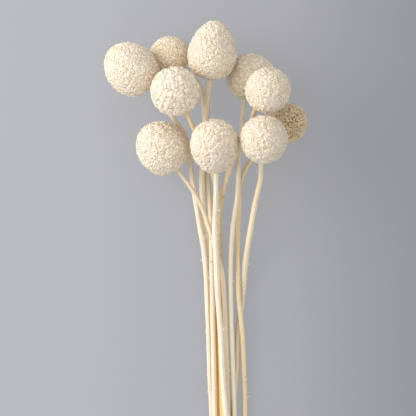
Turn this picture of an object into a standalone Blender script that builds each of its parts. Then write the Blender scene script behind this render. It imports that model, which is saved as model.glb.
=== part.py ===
"""A bunch of ten bleached, dried billy buttons, laid on a table and bound with twine.

Metres, +Z up. The stems run along Y with their heads towards +Y, and the bunch lies on z = 0.
Sizes and places below are in millimetres, and become metres as each mesh is made.
The origin ends up under the middle of the bunch, on the table.
"""

import math

import bmesh
import bpy
import numpy as np
from mathutils import Matrix, Vector

MM = 0.001

# Gap between two pieces that touch in real life.
SEAT_GAP = 0.3
# Clear space that two stems keep between their round skins, and a stem and a strange head.
STEM_GAP = 0.35
HEAD_GAP = 0.5

# A head: florets on its skin, how far each tip stands out of the grooves, and its flat base.
FLORETS_PER_HEAD = 170
GROOVE_DEPTH = 1.3
TIP_UNEVENNESS = 0.35
BASE_AT = 0.93
# What lies this low on a resting piece is pressed flat against the table.
PRESSED_BELOW = 1.6

# A stem: its sides, the length of its flared neck, and how much it widens towards the cut.
STEM_SIDES = 6
RING_SPACING = 10.0
NECK_LENGTH = 3.5
NECK_FLARE = 1.55
TAPER = 1.08

# How a stem's route is drawn, and how its neighbours then push it aside, a little each round.
PATH_POINTS = 64
STEPS_BETWEEN_POINTS = 12
STIFF_POINTS = 2
SETTLING_ROUNDS = 240
SETTLING_RATE = 0.6

# The tie: where it sits along the bunch, and its turns of twine.
TIE_Y = -55.0
TWINE_DIAMETER = 1.2
TIE_TURNS = 4
TWINE_PRESSED_BELOW = 0.6
TIE_SEGMENTS = 26

# Where the ten stems lie inside the tie, side by side in three layers: (x, layer) in pitches.
STEM_PITCH = 3.6
LAYER_RISE = 3.15
LOWEST_LAYER = 3.35
SLOTS = {
    "far_left": (-2.0, 0),
    "top": (-1.0, 0),
    "right": (0.0, 0),
    "low_right": (1.0, 0),
    "far_right": (2.0, 0),
    "back_left": (-1.5, 1),
    "left": (-0.5, 1),
    "low_left": (0.5, 1),
    "back_right": (1.5, 1),
    "low_centre": (0.0, 2),
}
# Below the tie the stems spread this much by the time they reach their cut ends.
SPREAD_AT_CUT = 1.7

# Each flower: head centre, radius across and half length along its own axis, how much its crown
# narrows, the way its stem leaves it, the stem's radius, the stem's route, and where it was cut.
FLOWERS = {
    "far_left": dict(
        centre=(-52.2, 190.2, 25.5), across=14.5, along=16.5, narrowing=0.05,
        stem_leaves=(0.70, -0.66, -0.22), stem=1.5, cut_y=-158.0,
        route=[(-31.5, 166.0, 17.0), (-22.6, 154.5, 10.0), (-19.9, 142.0, 7.2), (-17.9, 127.5, 6.2),
               (-16.2, 118.6, 5.9), (-14.3, 106.0, 5.6), (-12.0, 93.3, 5.0), (-10.4, 78.0, 3.6),
               (-9.7, 62.0, 2.6), (-8.7, 40.0, 2.2), (-7.8, 16.0, 2.2), (-6.8, 1.5, 2.3)],
    ),
    "back_left": dict(
        centre=(-31.2, 197.0, 11.8), across=12.0, along=12.0, narrowing=0.0,
        stem_leaves=(0.78, -0.62, -0.06), stem=1.5, cut_y=-151.0,
        route=[(-13.6, 180.0, 8.6), (-12.2, 170.0, 7.6), (-11.6, 150.0, 6.4), (-11.0, 132.0, 5.4),
               (-9.9, 121.0, 5.0), (-8.6, 108.0, 5.2), (-7.8, 91.0, 5.6), (-7.4, 70.0, 5.6),
               (-6.9, 40.0, 5.5), (-6.2, 3.0, 5.5)],
    ),
    "top": dict(
        centre=(-7.5, 200.0, 28.0), across=13.6, along=17.3, narrowing=0.20,
        stem_leaves=(-0.10, -0.97, -0.22), stem=1.75, cut_y=-163.0,
        route=[(-10.4, 170.0, 20.0), (-11.0, 160.0, 17.6), (-12.2, 145.0, 13.0), (-12.9, 132.0, 9.0),
               (-12.5, 120.0, 6.0), (-11.4, 107.0, 3.8), (-9.2, 94.0, 2.6), (-7.2, 80.0, 2.4),
               (-6.2, 60.0, 2.3), (-5.2, 30.0, 2.3), (-4.2, 3.0, 2.4)],
    ),
    "left": dict(
        centre=(-27.9, 177.4, 38.2), across=14.0, along=14.2, narrowing=0.0,
        stem_leaves=(0.44, -0.80, -0.40), stem=1.45, cut_y=-154.0,
        route=[(-19.2, 160.5, 28.0), (-15.6, 152.4, 24.0), (-11.2, 142.8, 19.4), (-8.0, 135.1, 16.0),
               (-5.9, 127.9, 13.2), (-5.1, 118.6, 10.4), (-5.1, 107.6, 7.8), (-5.1, 96.6, 6.2),
               (-5.0, 86.0, 5.5), (-4.4, 68.0, 5.3), (-3.4, 36.0, 5.3), (-2.4, 3.0, 5.4)],
    ),
    "low_left": dict(
        centre=(-35.0, 146.6, 20.0), across=14.4, along=16.2, narrowing=0.0,
        stem_leaves=(0.57, -0.82, -0.08), stem=1.35, cut_y=-160.0,
        route=[(-19.3, 124.7, 15.6), (-14.1, 115.9, 13.0), (-10.5, 106.5, 11.2), (-7.7, 97.7, 10.0),
               (-5.6, 90.0, 9.2), (-2.6, 82.0, 8.6), (-1.2, 69.7, 7.4), (0.0, 50.0, 6.2),
               (0.8, 25.0, 5.6), (1.4, 3.0, 5.5)],
    ),
    "low_centre": dict(
        centre=(-6.3, 147.4, 36.0), across=13.8, along=16.0, narrowing=-0.08,
        stem_leaves=(0.05, -0.87, -0.49), stem=1.65, cut_y=-156.0,
        route=[(-5.5, 122.6, 21.4), (-5.9, 112.0, 18.0), (-6.2, 101.6, 15.4), (-5.5, 88.4, 13.0),
               (-4.7, 69.1, 11.2), (-3.8, 56.0, 10.2), (-2.8, 42.0, 9.5), (-2.0, 24.0, 9.0),
               (-0.9, 10.0, 8.8), (-0.2, 0.0, 8.8)],
    ),
    "back_right": dict(
        centre=(13.4, 185.4, 13.8), across=13.9, along=14.2, narrowing=-0.08,
        stem_leaves=(-0.26, -0.96, -0.06), stem=1.35, cut_y=-159.0,
        route=[(9.6, 166.0, 11.8), (8.4, 158.0, 11.2), (7.2, 146.0, 10.8), (6.7, 132.0, 10.2),
               (6.6, 123.0, 9.8), (4.8, 112.0, 9.4), (3.2, 98.0, 8.8), (2.4, 84.0, 8.0),
               (2.3, 66.0, 7.0), (2.7, 48.0, 6.2), (3.5, 27.0, 5.6), (4.4, 2.0, 5.5)],
    ),
    "right": dict(
        centre=(22.8, 178.0, 38.4), across=12.9, along=13.3, narrowing=0.0,
        stem_leaves=(-0.50, -0.72, -0.48), stem=1.5, cut_y=-152.0,
        route=[(12.4, 158.6, 24.8), (7.2, 151.2, 20.0), (5.2, 145.4, 16.8), (2.0, 135.7, 12.4),
               (-0.2, 128.5, 9.6), (-2.2, 122.0, 7.6), (-3.3, 113.0, 5.2), (-3.6, 98.0, 3.2),
               (-3.2, 82.0, 2.3), (-2.4, 58.0, 2.2), (-1.4, 30.0, 2.2), (-0.6, 3.0, 2.3)],
    ),
    "low_right": dict(
        centre=(20.4, 151.2, 40.4), across=13.6, along=13.9, narrowing=0.0,
        stem_leaves=(-0.10, -0.83, -0.54), stem=1.65, cut_y=-161.0,
        route=[(18.8, 128.5, 25.4), (16.8, 120.3, 20.8), (14.5, 108.2, 15.2), (12.5, 96.5, 10.8),
               (10.6, 84.0, 7.0), (9.6, 72.0, 4.2), (8.4, 58.0, 2.4), (6.8, 45.5, 2.2),
               (5.6, 24.0, 2.2), (4.2, 3.0, 2.3)],
    ),
    "far_right": dict(
        centre=(33.8, 160.8, 11.6), across=11.6, along=11.7, narrowing=0.0,
        stem_leaves=(-0.72, -0.69, -0.06), stem=1.45, cut_y=-155.0,
        route=[(19.6, 146.6, 9.6), (13.4, 139.2, 8.2), (9.8, 133.4, 6.8), (7.9, 127.4, 5.8),
               (7.6, 116.0, 4.8), (6.9, 103.8, 4.6), (6.8, 85.6, 5.0), (6.9, 67.4, 5.6),
               (8.3, 52.6, 5.4), (9.5, 38.0, 3.8), (9.9, 22.4, 2.3), (10.4, 1.5, 2.2)],
    ),
}
# The heads that the bleach left browner than the rest.
TAN_HEADS = ("far_right",)

MATERIALS = {
    "ivory_florets": dict(color=(0.83, 0.77, 0.64, 1.0), roughness=0.92),
    "tan_florets": dict(color=(0.66, 0.53, 0.36, 1.0), roughness=0.92),
    "straw_stem": dict(color=(0.80, 0.70, 0.48, 1.0), roughness=0.62),
    "jute_twine": dict(color=(0.50, 0.37, 0.22, 1.0), roughness=0.90),
}


def clear_scene():
    for thing in list(bpy.data.objects):
        bpy.data.objects.remove(thing, do_unlink=True)


def make_materials():
    for name, look in MATERIALS.items():
        material = bpy.data.materials.new(name)
        material.use_nodes = True
        shader = material.node_tree.nodes["Principled BSDF"]
        shader.inputs["Base Color"].default_value = look["color"]
        shader.inputs["Roughness"].default_value = look["roughness"]
        shader.inputs["Metallic"].default_value = 0.0


def unit(vector):
    vector = np.asarray(vector, float)
    return vector / np.linalg.norm(vector)


def noise_in(name, count):
    """Seeded random numbers from 0 to 1, the same on each run for the same name."""
    return np.random.default_rng(sum(map(ord, name))).uniform(0.0, 1.0, count)


# Shape of a head

def base_distance(flower):
    """Millimetres from a head's centre to its flat base, along the axis."""
    return BASE_AT * (flower["along"] - GROOVE_DEPTH)


def head_axis(flower):
    """Unit vector from the stem through the head to its crown."""
    return -unit(flower["stem_leaves"])


def fibonacci_directions(count):
    """Evenly spread directions, on the spiral that real florets follow."""
    golden_angle = math.pi * (3 - math.sqrt(5))
    height = 1 - 2 * (np.arange(count) + 0.5) / count
    ring = np.sqrt(1 - height**2)
    turn = golden_angle * np.arange(count)
    return np.column_stack([ring * np.cos(turn), ring * np.sin(turn), height])


def floret_skin(directions):
    """A ball with one vertex on each floret's tip and one where each three florets meet."""
    skin = bmesh.new()
    for direction in directions:
        skin.verts.new(direction)
    bmesh.ops.convex_hull(skin, input=list(skin.verts))
    skin.verts.ensure_lookup_table()
    tips = len(directions)
    between_tips = list(skin.edges)
    bmesh.ops.poke(skin, faces=list(skin.faces))
    # The edges from tip to tip are turned, so that they run along the grooves.
    bmesh.ops.rotate_edges(skin, edges=between_tips, use_ccw=False)
    bmesh.ops.recalc_face_normals(skin, faces=list(skin.faces))
    skin.verts.index_update()
    return skin, tips


def place_head_point(flower, frame, direction, depth):
    """A point of the head in millimetres, depth below the head's outer shape."""
    x, y, z = direction
    narrow = 1 - flower["narrowing"] * z
    across = (flower["across"] - depth) * narrow
    along = max(z * (flower["along"] - depth), -base_distance(flower))
    return np.asarray(flower["centre"]) + frame @ np.array([x * across, y * across, along])


def head_frame(flower):
    """Columns are the head's own axes in the bunch: two across it and one to its crown."""
    axis = Vector(head_axis(flower))
    return np.array(axis.to_track_quat("Z", "Y").to_matrix())


def make_head(name, flower):
    skin, tips = floret_skin(fibonacci_directions(FLORETS_PER_HEAD))
    frame = head_frame(flower)
    short_by = noise_in(name, tips) * TIP_UNEVENNESS
    for vertex in skin.verts:
        depth = GROOVE_DEPTH if vertex.index >= tips else short_by[vertex.index]
        point = place_head_point(flower, frame, vertex.co.normalized(), depth)
        if point[2] < PRESSED_BELOW:
            point[2] = 0.0
        vertex.co = point * MM
    mesh = bpy.data.meshes.new(f"head_{name}")
    skin.to_mesh(mesh)
    skin.free()
    finish = "tan_florets" if name in TAN_HEADS else "ivory_florets"
    return add_object(mesh, finish, smooth_below=50)


# Route of a stem

def smooth_route(points, count):
    """Evenly spaced points along a centripetal Catmull-Rom curve through the route's points."""
    points = np.asarray(points, float)
    ends = [2 * points[0] - points[1], *points, 2 * points[-1] - points[-2]]
    spans = [math.sqrt(np.linalg.norm(b - a)) for a, b in zip(ends, ends[1:])]
    curve = []
    for k, (before, start, end, after) in enumerate(zip(ends, ends[1:], ends[2:], ends[3:])):
        lead, span, trail = spans[k : k + 3]
        chord = end - start
        slope_in = chord + span * ((start - before) / lead - (end - before) / (lead + span))
        slope_out = chord + span * ((after - end) / trail - (after - start) / (span + trail))
        for step in np.linspace(0, 1, STEPS_BETWEEN_POINTS, endpoint=False):
            curve.append(
                (2 * step**3 - 3 * step**2 + 1) * start
                + (step**3 - 2 * step**2 + step) * slope_in
                + (3 * step**2 - 2 * step**3) * end
                + (step**3 - step**2) * slope_out
            )
    curve.append(points[-1])
    return resample(np.array(curve), count)


def resample(curve, count):
    length = np.concatenate([[0], np.cumsum(np.linalg.norm(np.diff(curve, axis=0), axis=1))])
    at = np.linspace(0, length[-1], count)
    return np.column_stack([np.interp(at, length, curve[:, k]) for k in range(3)])


def slot_in_tie(name):
    across, layer = SLOTS[name]
    return np.array([across * STEM_PITCH, TIE_Y, LOWEST_LAYER + layer * LAYER_RISE])


def cut_end(name, flower):
    """Where the stem was cut: its place in the tie, spread out and sagged towards the table."""
    slot = slot_in_tie(name)
    return np.array([slot[0] * SPREAD_AT_CUT, flower["cut_y"], slot[2] * 0.9])


def drawn_route(name, flower):
    neck = np.asarray(flower["centre"]) - head_axis(flower) * (base_distance(flower) + SEAT_GAP)
    below_neck = neck - head_axis(flower) * NECK_LENGTH
    slot = slot_in_tie(name)
    along_tie = np.array([0, 9.0, 0])
    points = [neck, below_neck, *flower["route"], slot + along_tie, slot - along_tie, cut_end(name, flower)]
    return smooth_route(points, PATH_POINTS)


def push_stems_apart(paths, moves, radii):
    """Moves any two stems that come too close by half of what is missing each."""
    names = list(paths)
    for i, first in enumerate(names):
        for second in names[i + 1 :]:
            here, there = paths[first], paths[second]
            starts, steps = there[:-1], np.diff(there, axis=0)
            offset = here[:, None] - starts[None]
            share = np.clip((offset * steps).sum(2) / (steps**2).sum(1), 0, 1)
            apart = offset - share[..., None] * steps
            distance = np.linalg.norm(apart, axis=2)
            nearest = distance.argmin(axis=1)
            rows = np.arange(len(here))
            distance = distance[rows, nearest]
            lacking = radii[first] + radii[second] + STEM_GAP - distance
            for row in np.flatnonzero(lacking > 0):
                segment = nearest[row]
                push = apart[row, segment] / max(distance[row], 1e-6) * lacking[row] / 2
                moves[first][row] += push
                moves[second][segment] -= push * (1 - share[row, segment])
                moves[second][segment + 1] -= push * share[row, segment]


def push_stems_out_of_heads(paths, moves, radii, frames):
    for stem, path in paths.items():
        for head, flower in FLOWERS.items():
            if head == stem:
                continue
            margin = radii[stem] + HEAD_GAP
            half_sizes = np.array([flower["across"], flower["across"], flower["along"]])
            half_sizes = half_sizes * (1 + abs(flower["narrowing"]) * 0.6) + margin
            inside = (path - flower["centre"]) @ frames[head] / half_sizes
            depth = np.linalg.norm(inside, axis=1)
            for row in np.flatnonzero(depth < 1):
                outward = inside[row] / depth[row] - inside[row]
                moves[stem][row] += frames[head] @ (outward * half_sizes)


def spread_out(move):
    """Shares a stem's sideways moves with the points around them, as a stiff stem does."""
    padded = np.vstack([move[:1], move, move[-1:]])
    return 0.25 * padded[:-2] + 0.5 * padded[1:-1] + 0.25 * padded[2:]


def settle_stems():
    """Routes of all the stems, in millimetres, lying against each other but nowhere in each other."""
    drawn = {name: drawn_route(name, flower) for name, flower in FLOWERS.items()}
    radii = {name: flower["stem"] * TAPER for name, flower in FLOWERS.items()}
    frames = {name: head_frame(flower) for name, flower in FLOWERS.items()}
    moved = {name: np.zeros_like(path) for name, path in drawn.items()}
    # The neck stays in line with its head, and the points just below it give way only in part.
    give = np.clip((np.arange(PATH_POINTS) - STIFF_POINTS) / 3, 0, 1)[:, None]
    for _ in range(SETTLING_ROUNDS):
        paths = {name: drawn[name] + moved[name] for name in drawn}
        moves = {name: np.zeros_like(path) for name, path in drawn.items()}
        push_stems_apart(paths, moves, radii)
        push_stems_out_of_heads(paths, moves, radii, frames)
        for name in drawn:
            lift = radii[name] + STEM_GAP - paths[name][:, 2]
            moves[name][:, 2] += np.clip(lift, 0, None)
            moved[name] += SETTLING_RATE * spread_out(spread_out(moves[name]))
            moved[name] = spread_out(moved[name]) * give
    return {name: drawn[name] + moved[name] for name in drawn}


# Shape of a stem

def ring_places(path):
    """Distances down the stem and the points there: close in the neck, then one every RING_SPACING."""
    at = np.concatenate([[0], np.cumsum(np.linalg.norm(np.diff(path, axis=0), axis=1))])
    wanted = [0.0, NECK_LENGTH * 0.4]
    wanted += list(np.linspace(NECK_LENGTH, at[-1], int(at[-1] / RING_SPACING)))
    places = np.column_stack([np.interp(wanted, at, path[:, k]) for k in range(3)])
    return np.array(wanted), places


def stem_radius(flower, distance, length):
    """The stem flares where it meets the head and thickens slowly towards the cut."""
    grown = flower["stem"] * (1 + (TAPER - 1) * distance / length)
    flare = max(0.0, 1 - distance / NECK_LENGTH)
    return grown * (1 + (NECK_FLARE - 1) * flare**1.5)


def make_stem(name, flower, path):
    distances, places = ring_places(path)
    tangents = np.gradient(places, axis=0)
    tangents[0] = -head_axis(flower)
    tangents /= np.linalg.norm(tangents, axis=1)[:, None]
    body = bmesh.new()
    rings = []
    for distance, place, tangent in zip(distances, places, tangents):
        side = unit(np.cross(tangent, (0, 0, 1)))
        up = np.cross(side, tangent)
        radius = stem_radius(flower, distance, distances[-1])
        ring = []
        for turn in np.arange(STEM_SIDES) * 2 * math.pi / STEM_SIDES:
            point = place + radius * (math.cos(turn) * side + math.sin(turn) * up)
            ring.append(body.verts.new(point * MM))
        rings.append(ring)
    for ring, following in zip(rings, rings[1:]):
        for k in range(STEM_SIDES):
            after = (k + 1) % STEM_SIDES
            body.faces.new((ring[k], ring[after], following[after], following[k]))
    body.faces.new(rings[0])
    body.faces.new(rings[-1])
    bmesh.ops.recalc_face_normals(body, faces=list(body.faces))
    mesh = bpy.data.meshes.new(f"stem_{name}")
    body.to_mesh(mesh)
    body.free()
    return add_object(mesh, "straw_stem", smooth_below=50)


# Shape of the tie

def tie_outline(paths, y, clearance):
    """The tight loop round all stems at that y, clearance off their skins, as (x, z) points."""
    circles = []
    for name, path in paths.items():
        order = np.argsort(path[:, 1])
        x = np.interp(y, path[order, 1], path[order, 0])
        z = np.interp(y, path[order, 1], path[order, 2])
        circles.append((np.array([x, z]), FLOWERS[name]["stem"] * TAPER))
    loop = []
    for turn in np.arange(TIE_SEGMENTS) * 2 * math.pi / TIE_SEGMENTS:
        outward = np.array([math.cos(turn), math.sin(turn)])
        centre, radius = max(circles, key=lambda circle: circle[0] @ outward + circle[1])
        loop.append((centre + outward * (radius + clearance), outward))
    return loop


def tie_profile():
    """Section of the wound twine: (place along Y, height above the stems), humped once a turn."""
    half = TIE_TURNS * TWINE_DIAMETER / 2
    section = [(-half, 0.0)]
    for turn in range(TIE_TURNS):
        start = -half + turn * TWINE_DIAMETER
        section.append((start + 0.15 * TWINE_DIAMETER, 0.72 * TWINE_DIAMETER))
        section.append((start + 0.50 * TWINE_DIAMETER, 1.00 * TWINE_DIAMETER))
        section.append((start + 0.85 * TWINE_DIAMETER, 0.72 * TWINE_DIAMETER))
    section.append((half, 0.0))
    return section


def make_tie(paths):
    section = tie_profile()
    half = section[-1][0]
    sides = [tie_outline(paths, TIE_Y + y, SEAT_GAP) for y in (-half, 0.0, half)]
    body = bmesh.new()
    loops = []
    for k in range(TIE_SEGMENTS):
        outward = sides[0][k][1]
        skin = max((side[k][0] for side in sides), key=lambda point: point @ outward)
        loop = []
        for y, height in section:
            x, z = skin + outward * height
            z = 0.0 if z < TWINE_PRESSED_BELOW else z
            loop.append(body.verts.new((x * MM, (TIE_Y + y) * MM, z * MM)))
        loops.append(loop)
    for k, loop in enumerate(loops):
        following = loops[(k + 1) % len(loops)]
        for j in range(len(section)):
            after = (j + 1) % len(section)
            body.faces.new((loop[j], loop[after], following[after], following[j]))
    bmesh.ops.recalc_face_normals(body, faces=list(body.faces))
    mesh = bpy.data.meshes.new("tie")
    body.to_mesh(mesh)
    body.free()
    return add_object(mesh, "jute_twine", smooth_below=60)


def add_object(mesh, material, smooth_below):
    mesh.materials.append(bpy.data.materials[material])
    mesh.shade_smooth()
    mesh.set_sharp_from_angle(angle=math.radians(smooth_below))
    thing = bpy.data.objects.new(mesh.name, mesh)
    bpy.context.scene.collection.objects.link(thing)
    return thing


def centre_on_origin(things):
    """Slides the bunch along the table until the origin is under the middle of its box."""
    corners = np.array([vertex.co for thing in things for vertex in thing.data.vertices])
    middle = (corners.min(0) + corners.max(0)) / 2
    for thing in things:
        thing.data.transform(Matrix.Translation((-middle[0], -middle[1], 0)))


def main():
    clear_scene()
    make_materials()
    paths = settle_stems()
    things = [make_head(name, flower) for name, flower in FLOWERS.items()]
    things += [make_stem(name, flower, paths[name]) for name, flower in FLOWERS.items()]
    things.append(make_tie(paths))
    centre_on_origin(things)


main()
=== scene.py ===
import math

import bmesh
import bpy
import numpy as np
from mathutils import Matrix, Vector


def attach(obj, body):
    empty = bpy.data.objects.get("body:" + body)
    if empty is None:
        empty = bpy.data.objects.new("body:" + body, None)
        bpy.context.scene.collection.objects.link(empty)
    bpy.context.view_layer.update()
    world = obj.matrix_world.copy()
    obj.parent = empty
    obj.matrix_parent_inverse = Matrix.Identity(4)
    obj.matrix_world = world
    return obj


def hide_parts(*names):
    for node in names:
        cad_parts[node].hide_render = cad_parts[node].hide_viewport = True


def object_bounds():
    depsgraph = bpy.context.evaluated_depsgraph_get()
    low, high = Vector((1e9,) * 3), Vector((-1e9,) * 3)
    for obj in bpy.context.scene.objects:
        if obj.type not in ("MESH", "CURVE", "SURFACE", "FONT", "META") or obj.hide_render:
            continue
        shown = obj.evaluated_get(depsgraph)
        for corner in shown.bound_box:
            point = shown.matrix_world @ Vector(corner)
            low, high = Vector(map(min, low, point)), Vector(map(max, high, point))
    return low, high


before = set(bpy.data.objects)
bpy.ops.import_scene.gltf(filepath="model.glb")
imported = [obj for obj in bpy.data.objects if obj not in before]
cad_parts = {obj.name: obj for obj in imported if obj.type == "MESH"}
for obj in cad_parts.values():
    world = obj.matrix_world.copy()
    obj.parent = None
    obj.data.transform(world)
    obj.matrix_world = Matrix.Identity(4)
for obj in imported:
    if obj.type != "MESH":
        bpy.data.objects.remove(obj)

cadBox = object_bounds()
mm = 0.001
tableClear = 0.02 * mm  # the least height of anything that a tree makes
flowerNames = [name.removeprefix("head_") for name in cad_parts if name.startswith("head_")]


# Node trees, for materials and for Geometry Nodes alike

class Wire:
    # One output of a node. A sum on it adds the Math node that works it out.
    def __init__(self, net, socket):
        self.net = net
        self.socket = socket

    def out(self, name):  # another output of the same node
        return Wire(self.net, self.socket.node.outputs[name])

    def __add__(self, other):
        return self.net.maths("ADD", self, other)

    def __sub__(self, other):
        return self.net.maths("SUBTRACT", self, other)

    def __rsub__(self, other):
        return self.net.maths("SUBTRACT", other, self)

    def __mul__(self, other):
        return self.net.maths("MULTIPLY", self, other)

    def __truediv__(self, other):
        return self.net.maths("DIVIDE", self, other)

    def __gt__(self, other):
        return self.net.maths("GREATER_THAN", self, other)


class Net:
    # A node tree under construction.
    def __init__(self, tree):
        self.tree = tree

    def add(self, kind, settings=None, inputs=None, output=0):
        node = self.tree.nodes.new(kind)
        for name, value in (settings or {}).items():
            if name == "stops":
                self.setStops(node.color_ramp, value)
            else:
                setattr(node, name, value)
        for name, value in (inputs or {}).items():
            self.plug(node.inputs[name], value)
        return Wire(self, node.outputs[output])

    def plug(self, socket, value):
        if isinstance(value, Wire):
            self.tree.links.new(value.socket, socket)
        elif isinstance(value, list):  # a socket that takes several wires
            for wire in value:
                self.tree.links.new(wire.socket, socket)
        else:
            socket.default_value = value

    def setStops(self, ramp, stops):
        while len(ramp.elements) < len(stops):
            ramp.elements.new(0.5)
        for element, (place, colour) in zip(ramp.elements, stops):
            element.position = place
            element.color = colour

    def maths(self, operation, *values):
        return self.add("ShaderNodeMath", {"operation": operation}, dict(enumerate(values)))

    def vector(self, operation, *values, output="Vector"):
        settings = {"operation": operation}
        return self.add("ShaderNodeVectorMath", settings, dict(enumerate(values)), output)

    def scaled(self, vector, factor):
        inputs = {"Vector": vector, "Scale": factor}
        return self.add("ShaderNodeVectorMath", {"operation": "SCALE"}, inputs)

    def combined(self, x, y, z):
        return self.add("ShaderNodeCombineXYZ", {}, {0: x, 1: y, 2: z})

    def blend(self, factor, first, second, how="MIX"):
        settings = {"data_type": "RGBA", "blend_type": how}
        return self.add("ShaderNodeMix", settings, {0: factor, 6: first, 7: second}, output=2)

    def ramp(self, factor, stops):
        return self.add("ShaderNodeValToRGB", {"stops": stops}, {"Fac": factor})

    def remap(self, value, fromLow, fromHigh, toLow=0.0, toHigh=1.0):
        return self.add("ShaderNodeMapRange", {}, {
            "Value": value, "From Min": fromLow, "From Max": fromHigh,
            "To Min": toLow, "To Max": toHigh,
        })

    def noise(self, place, size, detail=2.0, roughness=0.5):
        inputs = {"Vector": place, "Scale": 1 / size, "Detail": detail, "Roughness": roughness}
        return self.add("ShaderNodeTexNoise", {}, inputs)


class GeometryTree(Net):
    # A Geometry Nodes tree whose named inputs are the sizes that its maker may change.
    def __init__(self, name, sizes):
        super().__init__(bpy.data.node_groups.new(name, "GeometryNodeTree"))
        self.sizes = {}
        panel = self.tree.interface
        panel.new_socket("Geometry", in_out="INPUT", socket_type="NodeSocketGeometry")
        for label, kind in sizes.items():
            made = panel.new_socket(label, in_out="INPUT", socket_type="NodeSocket" + kind)
            self.sizes[label] = made.identifier
        panel.new_socket("Geometry", in_out="OUTPUT", socket_type="NodeSocketGeometry")
        self.entry = self.tree.nodes.new("NodeGroupInput")

    def given(self, label="Geometry"):
        return Wire(self, self.entry.outputs[label])

    def store(self, geometry, name, value, domain="POINT"):
        settings = {"data_type": "FLOAT", "domain": domain}
        inputs = {"Geometry": geometry, "Name": name, "Value": value}
        return self.add("GeometryNodeStoreNamedAttribute", settings, inputs)

    def stored(self, name):
        return self.add("GeometryNodeInputNamedAttribute", {"data_type": "FLOAT"}, {"Name": name})

    def random(self, low, high, seed):
        inputs = {2: low, 3: high, "Seed": seed}
        return self.add("FunctionNodeRandomValue", {"data_type": "FLOAT"}, inputs, output=1)

    def nudge(self, seed):  # a random vector, up to one each way
        inputs = {0: (-1, -1, -1), 1: (1, 1, 1), "Seed": seed}
        return self.add("FunctionNodeRandomValue", {"data_type": "FLOAT_VECTOR"}, inputs)

    def pointingTo(self, aim):  # the rotation that turns a thing's own Z to the aim
        return self.add("FunctionNodeAlignRotationToVector", {"axis": "Z"}, {"Vector": aim})

    def circle(self, sides, radius):
        inputs = {"Resolution": sides, "Radius": radius}
        return self.add("GeometryNodeCurvePrimitiveCircle", {"mode": "RADIUS"}, inputs)

    def copied(self, thing, asInstance=False):
        inputs = {"Object": thing, "As Instance": asInstance}
        return self.add("GeometryNodeObjectInfo", {}, inputs, output="Geometry")

    def joined(self, parts):
        return self.add("GeometryNodeJoinGeometry", {}, {"Geometry": parts})

    def realized(self, geometry):
        return self.add("GeometryNodeRealizeInstances", {}, {"Geometry": geometry})

    def moved(self, geometry, how, value):  # to a Position, or by an Offset
        return self.add("GeometryNodeSetPosition", {}, {"Geometry": geometry, how: value})

    def position(self):
        return self.add("GeometryNodeInputPosition")

    def finish(self, geometry):
        # Whatever is under the table's top is lifted to just above it.
        here = self.add("ShaderNodeSeparateXYZ", {}, {"Vector": self.position()})
        height = self.maths("MAXIMUM", here.out("Z"), tableClear)
        lifted = self.moved(geometry, "Position", self.combined(here, here.out("Y"), height))
        inputs = {"Geometry": self.realized(lifted), "Material": self.given("Material")}
        dressed = self.add("GeometryNodeSetMaterial", {}, inputs)
        self.tree.links.new(dressed.socket, self.tree.nodes.new("NodeGroupOutput").inputs[0])

    def bake(self, holder, values):
        # Runs the tree on an object and returns the result as a plain mesh.
        step = holder.modifiers.new("make", "NODES")
        step.node_group = self.tree
        for label, value in values.items():
            step[self.sizes[label]] = value
        mesh = plainMesh(holder)
        holder.modifiers.remove(step)
        return mesh


# Objects and meshes

helpers = []


def newObject(name, data):
    thing = bpy.data.objects.new(name, data)
    bpy.context.scene.collection.objects.link(thing)
    return thing


def helperObject(name, data):
    # Something that a tree copies or grows on, which is removed when the bunch is made.
    thing = newObject(name, data)
    helpers.append(thing)
    return thing


def plainMesh(thing):
    # An object's mesh as its modifiers leave it.
    graph = bpy.context.evaluated_depsgraph_get()
    return bpy.data.meshes.new_from_object(thing.evaluated_get(graph), depsgraph=graph)


def addPiece(name, mesh, material, node=None):
    mesh.name = name
    if not mesh.materials:
        mesh.materials.append(material)
    mesh.shade_smooth()
    piece = newObject(name, mesh)
    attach(piece, "root")
    if node:
        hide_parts(node)
    print(" ", name, len(mesh.polygons), "faces")


def polyLine(name, points, thickness):
    curve = bpy.data.curves.new(name, "CURVE")
    curve.dimensions = "3D"
    spline = curve.splines.new("POLY")
    spline.points.add(len(points) - 1)
    spline.points.foreach_set("co", np.column_stack([points, np.ones(len(points))]).ravel())
    spline.points.foreach_set("radius", thickness)
    return helperObject(name, curve)


def addRing(body, places, layer, value):
    # A ring of corners, all with the same value of an attribute.
    ring = [body.verts.new(place) for place in places]
    for corner in ring:
        corner[layer] = value
    return ring


def joinRings(body, rings, closed=False):
    # Walls from each ring of corners to the next, and both ends where it is closed.
    for lower, upper in zip(rings, rings[1:]):
        for k in range(len(lower)):
            body.faces.new((lower[k - 1], lower[k], upper[k], upper[k - 1]))
    if closed:
        body.faces.new(rings[0])
        body.faces.new(rings[-1])


def finishMesh(name, body, faceOut=False):
    if faceOut:
        bmesh.ops.recalc_face_normals(body, faces=list(body.faces))
    mesh = bpy.data.meshes.new(name)
    body.to_mesh(mesh)
    body.free()
    return mesh


def turnsOf(sides):  # the angle of each corner of a ring
    return [k * 2 * math.pi / sides for k in range(sides)]


# Materials

def newMaterial(name):
    material = bpy.data.materials.new(name)
    material.use_nodes = True
    net = Net(material.node_tree)
    shader = material.node_tree.nodes["Principled BSDF"]
    return material, net, shader


def attribute(net, name):
    return net.add("ShaderNodeAttribute", {"attribute_name": name}, {}, output="Fac")


def objectPlace(net):
    return net.add("ShaderNodeTexCoord", {}, {}, output="Object")


def setSkin(shader, values):
    for name, value in values.items():
        shader.inputs[name].default_value = value


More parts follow.
